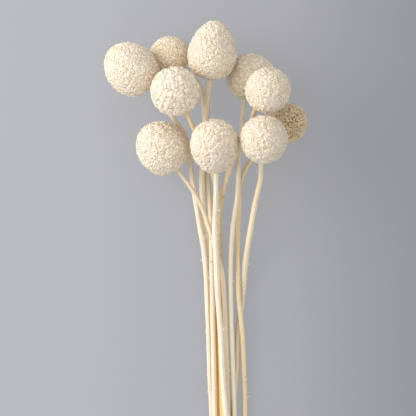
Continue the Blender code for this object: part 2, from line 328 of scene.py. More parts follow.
def dressSkin(net, shader, look, colour, relief):
    # Wires up a skin's colour and its fine relief, and sets how it takes the light.
    bump = {"Strength": look["bumpStrength"], "Distance": look["bumpDepth"], "Height": relief}
    net.plug(shader.inputs["Normal"], net.add("ShaderNodeBump", {}, bump))
    net.plug(shader.inputs["Base Color"], colour)
    setSkin(shader, look["skin"])


floretLook = dict(
    # Tip and middle are the florets' own colours; the crevice colour is painted shade, where their
    # feet and the core lie in shade.
    ivory=dict(
        tip=(0.97, 0.85, 0.68, 1), middle=(0.96, 0.82, 0.63, 1), creviceShade=(0.92, 0.77, 0.56, 1),
    ),
    tan=dict(
        tip=(0.88, 0.73, 0.51, 1), middle=(0.80, 0.62, 0.38, 1), creviceShade=(0.60, 0.42, 0.21, 1),
    ),
    riseShare=0.85,  # what the painted shade by height on a floret and its own tint add to how light it is
    tintShare=0.15,
    blush=(0.96, 0.87, 0.75, 1),  # the warmer cream of patches that took the bleach less
    blushFrom=(0.45, 0.75),  # where in the noise such a patch begins and is full
    blushShare=0.55,
    warm=(1.0, 0.92, 0.76, 1),  # painted warm shade on heads that stand deep in the bunch, for the light bounced among them
    patchSize=9 * mm,
    fibreSize=0.28 * mm,
    fibreShade=(0.93, 1.04),  # between fibres and on them
    bumpStrength=0.6,
    bumpDepth=0.12 * mm,
    skin={
        "Roughness": 0.88, "Specular IOR Level": 0.2, "Subsurface Weight": 0.35,
        "Subsurface Radius": (1.0, 0.85, 0.7), "Subsurface Scale": 0.8 * mm,
    },
)


def floretMaterial(name, colours):
    material, net, shader = newMaterial(name)
    place = objectPlace(net)
    rise = attribute(net, "rise") * floretLook["riseShare"]
    tint = attribute(net, "tint") * floretLook["tintShare"]
    # Painted shade: the colour runs from the tip down to the crevice colour at the floret's foot
    # and on the core between florets.
    stops = [(0.0, colours["creviceShade"]), (0.55, colours["middle"]), (0.95, colours["tip"])]
    colour = net.ramp(rise + tint, stops)
    patches = net.noise(place, floretLook["patchSize"], detail=3.0)
    patches = net.remap(patches, *floretLook["blushFrom"], 0.0, floretLook["blushShare"])
    colour = net.blend(patches, colour, floretLook["blush"], "MULTIPLY")
    # Painted shade: heads deep in the bunch are tinted warmer and darker, as if lit by light
    # bounced among them.
    colour = net.blend(attribute(net, "warmth"), colour, floretLook["warm"], "MULTIPLY")
    fibres = net.noise(place, floretLook["fibreSize"], detail=4.0, roughness=0.7)
    shade = net.remap(fibres, 0.3, 0.7, *floretLook["fibreShade"])
    grey = net.add("ShaderNodeCombineColor", {}, {0: shade, 1: shade, 2: shade})
    colour = net.blend(1.0, colour, grey, "MULTIPLY")
    dressSkin(net, shader, floretLook, colour, fibres)
    return material


stemLook = dict(
    pale=(0.87, 0.785, 0.645, 1),
    straw=(0.76, 0.60, 0.33, 1),
    scar=(0.48, 0.33, 0.17, 1),
    pith=(0.90, 0.86, 0.76, 1),
    down=(0.98, 0.95, 0.90, 1),
    amber=(0.93, 0.62, 0.22, 1),  # painted glow: the warm light that passes through the stems and bounces between them, in their shade
    paintedGlowBand=(9.5, 12.5, 20.0, 26.0),  # centimetres from the head: starts, full, fades, ends
    streakWidth=0.3,  # of the stem's radius, as the next
    grooveWidth=0.2,
    stretch=0.3,  # what a centimetre lengthwise is in the streaks and grooves, as the widths are
    streakShare=0.9,  # what streaks and the stem's own tint add to how much straw shows
    tintShare=0.55,
    strawFrom=(0.38, 0.95),
    spotSize=1.1 * mm,
    spotFrom=(0.69, 0.78),  # where in the noise a spot begins and is full
    spotShare=0.55,
    roughness=(0.48, 0.68),
    bumpStrength=0.7,
    bumpDepth=0.3 * mm,
    skin={
        "Specular IOR Level": 0.3, "Subsurface Weight": 0.1,
        "Subsurface Radius": (1.0, 0.6, 0.3), "Subsurface Scale": 1.5 * mm,
    },
)


def stemMaterial():
    material, net, shader = newMaterial("straw_stem_skin")
    along = attribute(net, "along")
    lengthwise = net.combined(attribute(net, "acrossOne"), attribute(net, "acrossTwo"),
                              along * stemLook["stretch"])
    streaks = net.noise(lengthwise, stemLook["streakWidth"], detail=5.0, roughness=0.7)
    tint = attribute(net, "tint") * stemLook["tintShare"]
    straw = net.remap(streaks * stemLook["streakShare"] + tint, *stemLook["strawFrom"])
    colour = net.blend(straw, stemLook["pale"], stemLook["straw"])
    # Painted glow: an amber band on the stems that lie in the shade of the others, for the warm
    # light between them.
    starts, full, fades, ends = stemLook["paintedGlowBand"]
    amber = net.remap(along, starts, full) * net.remap(along, fades, ends, 1.0, 0.0)
    colour = net.blend(amber * attribute(net, "amber"), colour, stemLook["amber"])
    spots = net.noise(objectPlace(net), stemLook["spotSize"], detail=3.0, roughness=0.6)
    spots = net.remap(spots, *stemLook["spotFrom"], 0.0, stemLook["spotShare"])
    colour = net.blend(spots, colour, stemLook["scar"])
    for mark in ("scar", "pith", "down"):
        colour = net.blend(attribute(net, mark), colour, stemLook[mark])
    grooves = net.noise(lengthwise, stemLook["grooveWidth"], detail=4.0, roughness=0.65)
    dressSkin(net, shader, stemLook, colour, grooves)
    roughness = net.remap(streaks, 0.3, 0.7, *stemLook["roughness"])
    net.plug(shader.inputs["Roughness"], roughness)
    return material


twineLook = dict(
    fibres=[
        (0.25, (0.22, 0.13, 0.06, 1)), (0.55, (0.50, 0.35, 0.19, 1)), (0.8, (0.72, 0.56, 0.36, 1)),
    ],
    fibreSize=0.35 * mm,
    bumpStrength=0.8,
    bumpDepth=0.15 * mm,
    skin={"Roughness": 0.9},
)


def twineMaterial():
    material, net, shader = newMaterial("jute_twine_fibre")
    fibres = net.noise(objectPlace(net), twineLook["fibreSize"], detail=5.0, roughness=0.7)
    dressSkin(net, shader, twineLook, net.ramp(fibres, twineLook["fibres"]), fibres)
    return material


floorLook = dict(
    glow=[  # the floor's own soft light, which falls off away from the key light
        (0.0, (0.330, 0.336, 0.352, 1)), (0.60, (0.268, 0.271, 0.283, 1)),
        (0.78, (0.220, 0.223, 0.235, 1)), (1.0, (0.178, 0.182, 0.193, 1)),
    ],
    glowAcross=(-0.06, 0.115),  # where along X it begins and ends to fall off
    skin={
        "Base Color": (0.125, 0.126, 0.135, 1), "Emission Strength": 1.0,
        "Roughness": 0.95, "Specular IOR Level": 0.05,
    },
)


def floorMaterial():
    material, net, shader = newMaterial("studio_floor")
    across = net.add("ShaderNodeSeparateXYZ", {}, {"Vector": objectPlace(net)})
    glow = net.ramp(net.remap(across, *floorLook["glowAcross"]), floorLook["glow"])
    net.plug(shader.inputs["Emission Color"], glow)
    setSkin(shader, floorLook["skin"])
    return material


print("materials")
ivoryFlorets = floretMaterial("ivory_florets_skin", floretLook["ivory"])
tanFlorets = floretMaterial("tan_florets_skin", floretLook["tan"])
strawStem = stemMaterial()
juteTwine = twineMaterial()


# Places read from the frame

def mergedPoints(node, gap=0.001 * mm):
    # The node's corners, each once, with the neighbours of each.
    body = bmesh.new()
    body.from_mesh(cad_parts[node].data)
    bmesh.ops.remove_doubles(body, verts=list(body.verts), dist=gap)
    body.verts.index_update()
    points = np.array([corner.co for corner in body.verts])
    neighbours = [[edge.other_vert(corner).index for edge in corner.link_edges]
                  for corner in body.verts]
    body.free()
    return points, neighbours


def stemRings(name, endDepth=3 * mm):
    # Centre and radius of each ring of the stem's solid, from its head to its cut end. The
    # walk starts with the corners at the cut end and goes on from neighbours to neighbours.
    points, neighbours = mergedPoints("stem_" + name)
    ring = set(np.flatnonzero(points[:, 1] < points[:, 1].min() + endDepth))
    seen = set()
    centres = []
    radii = []
    while ring:
        corners = points[sorted(ring)]
        centres.append(corners.mean(0))
        radii.append(np.linalg.norm(corners - centres[-1], axis=1).mean())
        seen |= ring
        ring = {other for corner in ring for other in neighbours[corner]} - seen
    return np.array(centres[::-1]), np.array(radii[::-1])


def lengthsAlong(points):
    return np.concatenate([[0], np.cumsum(np.linalg.norm(np.diff(points, axis=0), axis=1))])


def unit(vector):
    return vector / np.linalg.norm(vector)


def smoothLine(points, spacing, stepsBetween=16):
    # Points every so far along a smooth curve through those given, and their lengths along it.
    ends = np.vstack([2 * points[0] - points[1], points, 2 * points[-1] - points[-2]])
    fine = []
    for a, b, c, d in zip(ends, ends[1:], ends[2:], ends[3:]):
        for t in np.linspace(0, 1, stepsBetween, endpoint=False):
            fine.append(0.5 * (2 * b + (c - a) * t + (2 * a - 5 * b + 4 * c - d) * t**2
                               + (3 * b - a - 3 * c + d) * t**3))
    fine = np.array(fine + [points[-1]])
    length = lengthsAlong(fine)
    at = np.linspace(0, length[-1], int(length[-1] / spacing))
    return np.column_stack([np.interp(at, length, fine[:, k]) for k in range(3)]), at


stemLines = {name: stemRings(name) for name in flowerNames}


# Flower heads

headMake = dict(
    spacing=1.32 * mm,  # from one floret to the next
    overlap=1.33,  # a floret's width, as a share of that
    footprint=0.866,  # the surface for each floret, as a share of the spacing squared
    floretHeight=0.62 * mm,
    jitter=0.030,  # how far a floret strays from the spiral, as a share of the head's radius
    clumpJitter=3,  # how many times as far a knot strays
    perClump=7,  # florets in each knot of them
    clumpReach=0.62,  # a knot's radius, as a share of the spacing times the root of perClump
    clumpHeight=0.5 * mm,
    clumpLevel=0.85,  # the core's own level, as a share of a knot's height
    clumpPull=0.06,  # how far florets draw together in their knot
    clumpFan=0.5,  # how far they lean apart in it
    strayLean=0.12,  # how far each leans its own way besides
    widths=(0.84, 1.24),  # the least and the most, as in the next two
    ovals=(0.86, 1.08),
    heights=(0.8, 1.14),
    secondKind=0.4,  # florets of the second kind to each one of the first
    neckClear=2.4 * mm,  # no floret grows as near the stem as this
    coreSmooth=1,
)
goldenAngle = math.pi * (3 - math.sqrt(5))
# What sets a head apart from the others, as multiples of the values above, but for its painted warm
# shade, which is a share.
headHabits = dict(
    far_left=dict(height=0.65, clumps=0.4),
    back_left=dict(height=0.65, clumps=0.3, warmth=0.3),
    top=dict(height=0.75, clumps=0.6),
    left=dict(spacing=1.28, height=1.3, clumps=1.4, pull=1.6),
    low_left=dict(spacing=1.04, height=0.8, clumps=0.6),
    low_centre=dict(spacing=1.06, height=0.95, clumps=0.8),
    back_right=dict(height=0.85, warmth=0.1),
    right=dict(height=0.85, clumps=0.8),
    low_right=dict(height=0.85, clumps=0.7),
    far_right=dict(spacing=1.05, height=2.3, clumps=0.7, slim=0.76),
)
budMake = dict(
    sides=8,
    rings=(  # height, width, depth of the lobes, and how light the floret is there as painted shade, darker towards its sunk foot
        (-0.45, 0.66, 0.00, 0.0),
        (0.42, 0.99, 0.05, 0.55),
        (0.88, 0.66, 0.08, 1.0),
    ),
    middle=(1.0, 1.0),  # height, and how light, as painted shade
)
openMake = dict(
    sides=10,
    rings=(
        (-0.45, 0.60, 0.00, 0.0),
        (0.55, 0.84, 0.10, 0.6),
        (0.98, 0.92, 0.20, 1.0),
    ),
    middle=(0.66, 0.5),
)


def floretMesh(name, make):
    # One floret, one across and one high, lobed, with its foot sunk into the head.
    body = bmesh.new()
    # How light each corner is, as painted shade that darkens towards the floret's foot.
    rise = body.verts.layers.float.new("rise")
    rings = []
    for height, width, lobes, shade in make["rings"]:
        places = []
        for k, turn in enumerate(turnsOf(make["sides"])):
            reach = width * (1 + lobes * (1 if k % 2 else -1)) / 2
            places.append((reach * math.cos(turn), reach * math.sin(turn), height))
        rings.append(addRing(body, places, rise, shade))
    joinRings(body, rings)
    height, shade = make["middle"]
    middle = addRing(body, [(0, 0, height)], rise, shade)[0]
    for k in range(make["sides"]):
        body.faces.new((rings[-1][k - 1], rings[-1][k], middle))
    return finishMesh(name, body)


def headCore(name, inset):
    # The head's outer form without its florets, drawn in by the florets' height.
    points, _ = mergedPoints("head_" + name)
    body = bmesh.new()
    for point in points:
        body.verts.new(point)
    made = bmesh.ops.convex_hull(body, input=list(body.verts))
    inside = made["geom_interior"] + made["geom_unused"]
    spare = {item for item in inside if isinstance(item, bmesh.types.BMVert)}
    bmesh.ops.delete(body, geom=list(spare), context="VERTS")
    core = helperObject("core_" + name, finishMesh("core_" + name, body, faceOut=True))
    rounding = core.modifiers.new("round", "SUBSURF")
    rounding.levels = rounding.render_levels = headMake["coreSmooth"]
    rounded = plainMesh(core)
    core.modifiers.clear()
    core.data = rounded
    normals = [corner.normal.copy() for corner in rounded.vertices]
    for corner, normal in zip(rounded.vertices, normals):
        corner.co -= normal * inset
    return core, points


def spokesToCore(tree, count, jitter):
    # Where spokes from the head's middle meet its core, spread crown first along the spiral
    # that real florets grow on.
    index = tree.add("GeometryNodeInputIndex")
    height = 1 - (index + 0.5) / count * 2
    ring = tree.maths("SQRT", 1 - height * height)
    turn = index * goldenAngle
    across = ring * tree.maths("COSINE", turn)
    upward = ring * tree.maths("SINE", turn)
    spiral = tree.combined(across, upward, height)
    spiral = tree.vector("ADD", spiral, tree.scaled(tree.nudge(tree.given("Seed")), jitter))
    direction = tree.add("FunctionNodeRotateVector", {}, {
        "Vector": spiral, "Rotation": tree.pointingTo(tree.given("Crown")),
    })
    return tree.add("GeometryNodeRaycast", {}, {
        "Target Geometry": tree.given(), "Source Position": tree.given("Centre"),
        "Ray Direction": direction, "Ray Length": 1.0,
    }, output="Hit Position")


def scatteredPoints(tree, count, place):
    points = tree.add("GeometryNodePoints", {}, {"Count": count})
    return tree.moved(points, "Position", place)


def buildHeadTree(kinds):
    tree = GeometryTree("florets on a head", {
        "Count": "Int", "Per Clump": "Float", "Floret Size": "Float", "Floret Height": "Float",
        "Jitter": "Float", "Clump Height": "Float", "Clump Radius": "Float", "Clump Pull": "Float",
        "Clump Fan": "Float", "Centre": "Vector", "Crown": "Vector", "Neck": "Vector",
        "Neck Clear": "Float", "Warmth": "Float", "Seed": "Int", "Material": "Material",
    })
    clumpCount = tree.maths("ROUND", tree.given("Count") / tree.given("Per Clump"))
    clumpJitter = tree.given("Jitter") * headMake["clumpJitter"]
    clumps = scatteredPoints(tree, clumpCount, spokesToCore(tree, clumpCount, clumpJitter))
    # Each floret belongs to the nearest knot, and stands lower and leans out towards its edge.
    hit = spokesToCore(tree, tree.given("Count"), tree.given("Jitter"))
    normal = hit.out("Hit Normal")
    nearest = tree.add("GeometryNodeProximity", {"target_element": "POINTS"},
                       {0: clumps, "Sample Position": hit})
    outward = tree.vector("SUBTRACT", hit, nearest)
    reach = nearest.out("Distance") / tree.given("Clump Radius")
    dome = tree.maths("MAXIMUM", 1 - reach * reach, 0.0)
    stand = (dome - headMake["clumpLevel"]) * tree.given("Clump Height")
    place = tree.vector("ADD", hit, tree.scaled(normal, stand))
    place = tree.vector("SUBTRACT", place, tree.scaled(outward, tree.given("Clump Pull")))
    points = scatteredPoints(tree, tree.given("Count"), place)
    lean = tree.scaled(outward, tree.given("Clump Fan") / tree.given("Clump Radius"))
    stray = tree.scaled(tree.nudge(seed=31), headMake["strayLean"])
    aim = tree.vector("ADD", tree.vector("ADD", normal, lean), stray)
    spin = tree.add("FunctionNodeAxisAngleToRotation", {}, {
        "Axis": (0, 0, 1), "Angle": tree.random(0.0, 2 * math.pi, seed=3),
    })
    rotation = tree.add("FunctionNodeRotateRotation", {"rotation_space": "LOCAL"},
                        {"Rotation": tree.pointingTo(aim), "Rotate By": spin})
    width = tree.given("Floret Size") * tree.random(*headMake["widths"], seed=5)
    tall = tree.given("Floret Height") * tree.random(*headMake["heights"], seed=6)
    oval = tree.random(*headMake["ovals"], seed=7)
    fromNeck = tree.vector("DISTANCE", tree.position(), tree.given("Neck"), output="Value")
    kinds = [tree.copied(kind, asInstance=True) for kind in kinds]
    florets = tree.add("GeometryNodeInstanceOnPoints", {}, {
        "Points": points, "Selection": fromNeck > tree.given("Neck Clear"),
        "Instance": tree.joined(kinds), "Pick Instance": True,
        "Instance Index": tree.maths("FLOOR", tree.random(0.0, 1 + headMake["secondKind"], seed=8)),
        "Rotation": rotation, "Scale": tree.combined(width, width * oval, tall),
    })
    florets = tree.store(florets, "tint", tree.random(0.0, 1.0, seed=11), "INSTANCE")
    whole = tree.joined([tree.given(), tree.realized(florets)])
    # The head's share of painted warm shade.
    whole = tree.store(whole, "warmth", tree.given("Warmth"))
    tree.finish(whole)
    return tree


def makeHead(tree, number, name, neck):
    habit = headHabits[name]
    floretHeight = headMake["floretHeight"] * habit.get("height", 1.0)
    core, points = headCore(name, floretHeight)
    centre = (points.max(0) + points.min(0)) / 2
    radius = np.linalg.norm(points - centre, axis=1).mean()
    spacing = headMake["spacing"] * habit.get("spacing", 1.0)
    isTan = name == "far_right"
    material = tanFlorets if isTan else ivoryFlorets
    mesh = tree.bake(core, {
        "Count": round(4 * math.pi * radius**2 / (headMake["footprint"] * spacing**2)),
        "Per Clump": float(headMake["perClump"]),
        "Floret Size": spacing * headMake["overlap"] * habit.get("slim", 1.0),
        "Floret Height": floretHeight,
        "Jitter": headMake["jitter"],
        "Clump Height": headMake["clumpHeight"] * habit.get("clumps", 1.0),
        "Clump Radius": spacing * math.sqrt(headMake["perClump"]) * headMake["clumpReach"],
        "Clump Pull": headMake["clumpPull"] * habit.get("pull", 1.0),
        "Clump Fan": headMake["clumpFan"],
        "Centre": centre,
        "Crown": centre - neck,
        "Neck": neck,
        "Neck Clear": headMake["neckClear"],
        "Warmth": habit.get("warmth", 0.0),
        "Seed": number,
        "Material": material,
    })
    addPiece("florets_" + name, mesh, material, "head_" + name)


print("flower heads")
bud = helperObject("bud", floretMesh("bud", budMake))
openFloret = helperObject("open_floret", floretMesh("open_floret", openMake))
headTree = buildHeadTree([bud, openFloret])
for number, name in enumerate(flowerNames):
    centres, radii = stemLines[name]
    makeHead(headTree, number, name, neck=centres[0])


# Stems

stemMake = dict(
    spacing=2.0 * mm,
    sides=32,
    ribs=8,
    ribDepth=0.07,  # as a share of the stem's radius, like the next
    unevenness=0.05,
    ribPatch=9 * mm,
    ribFade=(0.3, 1.3),  # the least and the most of the ribs' depth
    dentSize=6 * mm,
    thinAtHead=0.80,  # as a share of the solid's radius, like the next
    thinLower=0.96,
    thickensOver=45 * mm,
    neckFlare=0.16,
    neckLength=2.0 * mm,
    intoHead=2.0 * mm,
    cutBevel=(  # how far beyond the cut end, and the radius there as a share of the end's own
        (0.10 * mm, 0.90), (0.12 * mm, 0.62), (0.13 * mm, 0.30),
    ),
    pithDepth=0.02 * mm,
    hairDensity=140000.0,  # to a square metre, like the next two
    tuftDensity=21000.0,
    scarDensity=2000.0,
    hairPatch=14 * mm,
    hairFrom=(0.42, 0.66),  # where in the noise such a patch begins and is full
    hairLength=(0.4 * mm, 1.3 * mm),
    tuftLength=(1.0 * mm, 2.2 * mm),
    scarSize=(0.5 * mm, 1.1 * mm),
)
stemTint = dict(  # 0 is bleached nearly white, 1 is plain straw
    far_left=0.1, back_left=0.25, top=0.2, left=0.6, low_left=0.4,
    low_centre=0.1, back_right=0.15, right=0.6, low_right=0.4, far_right=0.65,
)
stemPaintedGlow = dict(left=0.9, top=0.8)  # how strong a stem's painted glow is where its band is full
hairSides = 3
hairRings = (  # height, radius and lean
    (-0.10, 0.030, 0.00),
    (0.50, 0.024, 0.08),
    (1.00, 0.006, 0.30),
)
tuftMake = dict(
    hairs=7,
    steps=3,
    width=0.10,  # as a share of the tuft's length
    thinning=0.28,  # what each step takes off it
    rootDepth=0.1,
    least=(0, 0.2, 0.3, 0.5),  # turn, lean, curl and length of a hair
    most=(2 * math.pi, 1.1, 1.5, 1.0),
    seed=5,
)
scarRings = (  # height, width, and how brown
    (-0.2, 0.55, 0.0),
    (0.12, 0.45, 0.15),
    (0.26, 0.22, 0.9),
)
scarSides = 8
scarStretch = 1.5
downWhiteness = 0.9


def hairMesh(name, rings):
    # A bent, tapered hair one long.
    body = bmesh.new()
    down = body.verts.layers.float.new("down")
    made = []
    for height, radius, lean in rings:
        places = [(lean + radius * math.cos(turn), radius * math.sin(turn), height)
                  for turn in turnsOf(hairSides)]
        made.append(addRing(body, places, down, downWhiteness))
    joinRings(body, made, closed=True)
    return finishMesh(name, body, faceOut=True)


def tuftMesh(name):
    # A pinch of curled down, drawn together at its foot.
    draw = np.random.default_rng(tuftMake["seed"])
    body = bmesh.new()
    down = body.verts.layers.float.new("down")
    for _ in range(tuftMake["hairs"]):
        turn, lean, curl, length = draw.uniform(tuftMake["least"], tuftMake["most"])
        side = Vector((-math.sin(turn), math.cos(turn), 0))
        place = Vector((0, 0, -tuftMake["rootDepth"]))
        rings = []
        for step in range(tuftMake["steps"] + 1):
            bend = lean + curl * step / tuftMake["steps"]
            heading = Vector((math.sin(bend) * math.cos(turn), math.sin(bend) * math.sin(turn),
                              math.cos(bend)))
            other = heading.cross(side)
            width = tuftMake["width"] * (1 - tuftMake["thinning"] * step)
            places = [place + (side * math.cos(c) + other * math.sin(c)) * width
                      for c in turnsOf(hairSides)]
            rings.append(addRing(body, places, down, downWhiteness))
            place = place + heading * length / tuftMake["steps"]
        joinRings(body, rings, closed=True)
    return finishMesh(name, body, faceOut=True)


def scarMesh(name):
    # The stub that a fallen leaf leaves: a low knob, brown in the middle.
    body = bmesh.new()
    scar = body.verts.layers.float.new("scar")
    rings = []
    for height, width, shade in scarRings:
        places = [(scarStretch * width * math.cos(turn), width * math.sin(turn), height)
                  for turn in turnsOf(scarSides)]
        rings.append(addRing(body, places, scar, shade))
    joinRings(body, rings)
    body.faces.new(rings[-1])
    body.faces.new(rings[0][::-1])
    return finishMesh(name, body)


def copiesOver(tree, mesh, kind, density, size, seed, turnSeed, stray=0.7):
    # Copies of a small thing standing on a surface, scattered with so many to the square metre.
    points = tree.add("GeometryNodeDistributePointsOnFaces", {"distribute_method": "RANDOM"},
                      {"Mesh": mesh, "Density": density, "Seed": seed})
    aim = tree.vector("ADD", points.out("Normal"), tree.scaled(tree.nudge(turnSeed), stray))
    return tree.add("GeometryNodeInstanceOnPoints", {}, {
        "Points": points, "Rotation": tree.pointingTo(aim),
        "Scale": tree.random(*size, turnSeed + 1), "Instance": tree.copied(kind),
    })


def buildStemTree(hair, tuft, scar):
    tree = GeometryTree("stem along a line", {
        "Sides": "Int", "Rib Depth": "Float", "Unevenness": "Float", "Hair Density": "Float",
        "Tuft Density": "Float", "Scar Density": "Float", "Tint": "Float", "Amber": "Float",
        "Seed": "Int", "Material": "Material",
    })
    along = tree.add("GeometryNodeSplineParameter", {}, {}, output="Length")
    end = tree.add("GeometryNodeSplineLength", {}, {}, output="Length")
    radius = tree.add("GeometryNodeInputRadius")
    line = tree.store(tree.given(), "along", along * 100)  # in centimetres from the head
    line = tree.store(line, "pith", along > end - stemMake["pithDepth"])
    line = tree.store(line, "stemRadius", radius)
    around = tree.add("GeometryNodeSplineParameter", {}, {}, output="Factor") * (2 * math.pi)
    ring = tree.circle(tree.given("Sides"), 1.0)
    ring = tree.store(ring, "acrossOne", tree.maths("COSINE", around))
    ring = tree.store(ring, "acrossTwo", tree.maths("SINE", around))
    ring = tree.store(ring, "rib", tree.maths("COSINE", around * stemMake["ribs"]))
    body = tree.add("GeometryNodeCurveToMesh", {}, {
        "Curve": line, "Profile Curve": ring, "Scale": radius, "Fill Caps": True,
    })
    # Ribs run the length of the stem, and soft dents cross them.
    place = tree.position()
    fade = tree.remap(tree.noise(place, stemMake["ribPatch"]), 0.3, 0.7, *stemMake["ribFade"])
    dents = tree.remap(tree.noise(place, stemMake["dentSize"], detail=4.0), 0.25, 0.75, -1.0, 1.0)
    push = (tree.stored("rib") - 1) * fade * tree.given("Rib Depth")
    push = push + (dents - 0.5) * tree.given("Unevenness")
    offset = tree.scaled(tree.add("GeometryNodeInputNormal"), push * tree.stored("stemRadius"))
    body = tree.moved(body, "Offset", offset)
    body = tree.store(body, "tint", tree.given("Tint"))
    # the stem's share of painted glow
    body = tree.store(body, "amber", tree.given("Amber"))
    # Down stands in loose patches, with a tuft or the stub of a leaf here and there.
    uncut = 1 - tree.stored("pith")
    patches = tree.remap(tree.noise(place, stemMake["hairPatch"]), *stemMake["hairFrom"])
    seed = tree.given("Seed")
    hairs = copiesOver(tree, body, hair, tree.given("Hair Density") * patches,
                       stemMake["hairLength"], seed, turnSeed=4)
    tufts = copiesOver(tree, body, tuft, tree.given("Tuft Density") * uncut,
                       stemMake["tuftLength"], seed + 40, turnSeed=14)
    scars = copiesOver(tree, body, scar, tree.given("Scar Density") * uncut,
                       stemMake["scarSize"], seed + 80, turnSeed=24, stray=0.05)
    whole = tree.realized(tree.joined([body, hairs, tufts, scars]))
    tree.finish(whole)
    return tree


def stemCurve(name):
    centres, radii = stemLines[name]
    line, at = smoothLine(centres, stemMake["spacing"])
    known = lengthsAlong(centres)
    solid = np.maximum.accumulate(np.minimum(radii, np.median(radii)))
    swell = np.clip(at / stemMake["thickensOver"], 0, 1)
    share = stemMake["thinAtHead"] + (stemMake["thinLower"] - stemMake["thinAtHead"]) * swell
    share += stemMake["neckFlare"] * np.exp(-at / stemMake["neckLength"])
    thickness = np.interp(at, known * at[-1] / known[-1], solid) * share
    # The head end runs on into the head, and the cut end has a bevel round its pith.
    tip = line[0] + unit(line[0] - line[1]) * stemMake["intoHead"]
    onward = unit(line[-1] - line[-2])
    bevel = [line[-1] + onward * step for step, width in stemMake["cutBevel"]]
    rims = [thickness[-1] * width for step, width in stemMake["cutBevel"]]
    return polyLine("line_" + name, np.vstack([tip, line] + bevel),
                    np.concatenate([thickness[:1], thickness, rims]))


print("stems")
hair = helperObject("hair", hairMesh("hair", hairRings))
tuft = helperObject("tuft", tuftMesh("tuft"))
scar = helperObject("scar", scarMesh("scar"))
stemTree = buildStemTree(hair, tuft, scar)
for number, name in enumerate(flowerNames):
    mesh = stemTree.bake(stemCurve(name), {
        "Sides": stemMake["sides"],
        "Rib Depth": stemMake["ribDepth"],
        "Unevenness": stemMake["unevenness"],
        "Hair Density": stemMake["hairDensity"],
        "Tuft Density": stemMake["tuftDensity"],
        "Scar Density": stemMake["scarDensity"],
        "Tint": stemTint[name],
        "Amber": stemPaintedGlow.get(name, 0.0),
        "Seed": number,
        "Material": strawStem,
    })
    addPiece("stalk_" + name, mesh, strawStem, "stem_" + name)


# Dried leaves that cling to the stems

bractMake = dict(
    steps=9,
    width=0.85 * mm,
    tipWidth=0.03 * mm,
    narrowing=0.55,  # under 1, so that it narrows mostly near its tip
    cupping=0.35,  # how far its edges rise, as a share of half its width
    thickness=0.40 * mm,
    thinning=0.6,  # the share of the thickness that is gone at the tip
    footBend=12,  # degrees
    curlGrowth=1.4,  # over 1, so that it curls mostly near its tip
    seat=0.86,  # where its foot is, as a share of the stem's radius
    whiteness=0.8,
    # Stem, distance from its head, turn from straight up towards +X, length, curl and tilt,
    # with the three angles in degrees.
    places=(
        ("low_left", 44 * mm, -75, 6.6 * mm, 200, 0),
        ("low_centre", 26 * mm, 70, 3.4 * mm, 90, 20),
        ("low_centre", 34 * mm, 85, 2.8 * mm, 60, 10),
        ("low_centre", 38 * mm, 25, 3.8 * mm, 50, -55),
        ("low_centre", 49 * mm, 80, 2.6 * mm, 80, 0),
        ("low_centre", 92 * mm, 65, 3.2 * mm, 100, 25),
        ("low_centre", 99 * mm, -15, 3.0 * mm, 120, -40),
        ("top", 120 * mm, 40, 3.0 * mm, 90, 0),
        ("far_left", 62 * mm, -80, 2.6 * mm, 60, 0),
        ("far_left", 105 * mm, -85, 2.8 * mm, 80, 10),
        ("low_right", 9 * mm, -85, 2.6 * mm, 60, 0),
        ("low_right", 66 * mm, 80, 2.4 * mm, 90, 15),
        ("far_right", 152 * mm, 80, 2.8 * mm, 120, 0),
        ("back_right", 70 * mm, -80, 2.6 * mm, 60, -15),
        ("low_centre", 150 * mm, 20, 3.4 * mm, 100, 0),
        ("back_left", 210 * mm, 60, 3.6 * mm, 80, 0),
        ("low_right", 240 * mm, -50, 3.8 * mm, 110, 20),
    ),
)


def addBract(body, down, name, distance, turn, length, curl, tilt):
    # One narrow, cupped leaf, as rings of four corners that curl outwards from the stem.
    line, at = smoothLine(stemLines[name][0], stemMake["spacing"])
    k = int(np.searchsorted(at, distance))
    along = Vector(line[k - 1] - line[k + 1]).normalized()  # towards the head, as leaves point
    up = (Vector((0, 0, 1)) - along * along.z).normalized()
    out = Matrix.Rotation(math.radians(turn), 3, along) @ up
    side = along.cross(out)
    along = Matrix.Rotation(math.radians(tilt), 3, out) @ along
    radius = float(np.median(stemLines[name][1])) * stemMake["thinLower"]
    place = Vector(line[k]) + out * radius * bractMake["seat"]
    rings = []
    for step in range(bractMake["steps"] + 1):
        share = step / bractMake["steps"]
        bend = math.radians(bractMake["footBend"] + curl * share**bractMake["curlGrowth"])
        heading = along * math.cos(bend) + out * math.sin(bend)
        face = out * math.cos(bend) - along * math.sin(bend)
        half = bractMake["width"] / 2 * (1 - share) ** bractMake["narrowing"]
        half += bractMake["tipWidth"]
        deep = bractMake["thickness"] / 2 * (1 - bractMake["thinning"] * share)
        cup = face * half * bractMake["cupping"]
        places = [place + side * half + cup, place + face * deep,
                  place - side * half + cup, place - face * deep]
        rings.append(addRing(body, places, down, bractMake["whiteness"]))
        place = place + heading * length / bractMake["steps"]
    joinRings(body, rings, closed=True)


print("dry leaves")
body = bmesh.new()
down = body.verts.layers.float.new("down")
for place in bractMake["places"]:
    addBract(body, down, *place)
addPiece("dry_leaves", finishMesh("dry_leaves", body, faceOut=True), strawStem)


# Twine

twineMake = dict(
    thickness=1.2 * mm,
    turns=4,
    pointsPerTurn=90,
    plies=3,
    plySides=8,
    plyRadius=0.56,  # as a share of the twine's radius, like the next
    plyPlace=0.46,
    lay=3.6 * mm,  # length in which the plies turn once round each other
    fibreDensity=500000.0,  # to a square metre
    fibreLength=(0.5 * mm, 1.4 * mm),
    fibreStray=1.4,
)


def tieLoop(edge=0.01 * mm):
    # The tight loop round the stems that the tie's solid lies on, as corners in order, with
    # its middle and the tie's two ends along Y.
    points, _ = mergedPoints("tie")
    low, high = points[:, 1].min(), points[:, 1].max()
    inner = points[points[:, 1] < low + edge]
    middle = inner.mean(0)
    turn = np.arctan2(inner[:, 2] - middle[2], inner[:, 0] - middle[0])
    return inner[np.argsort(turn)], middle, low, high


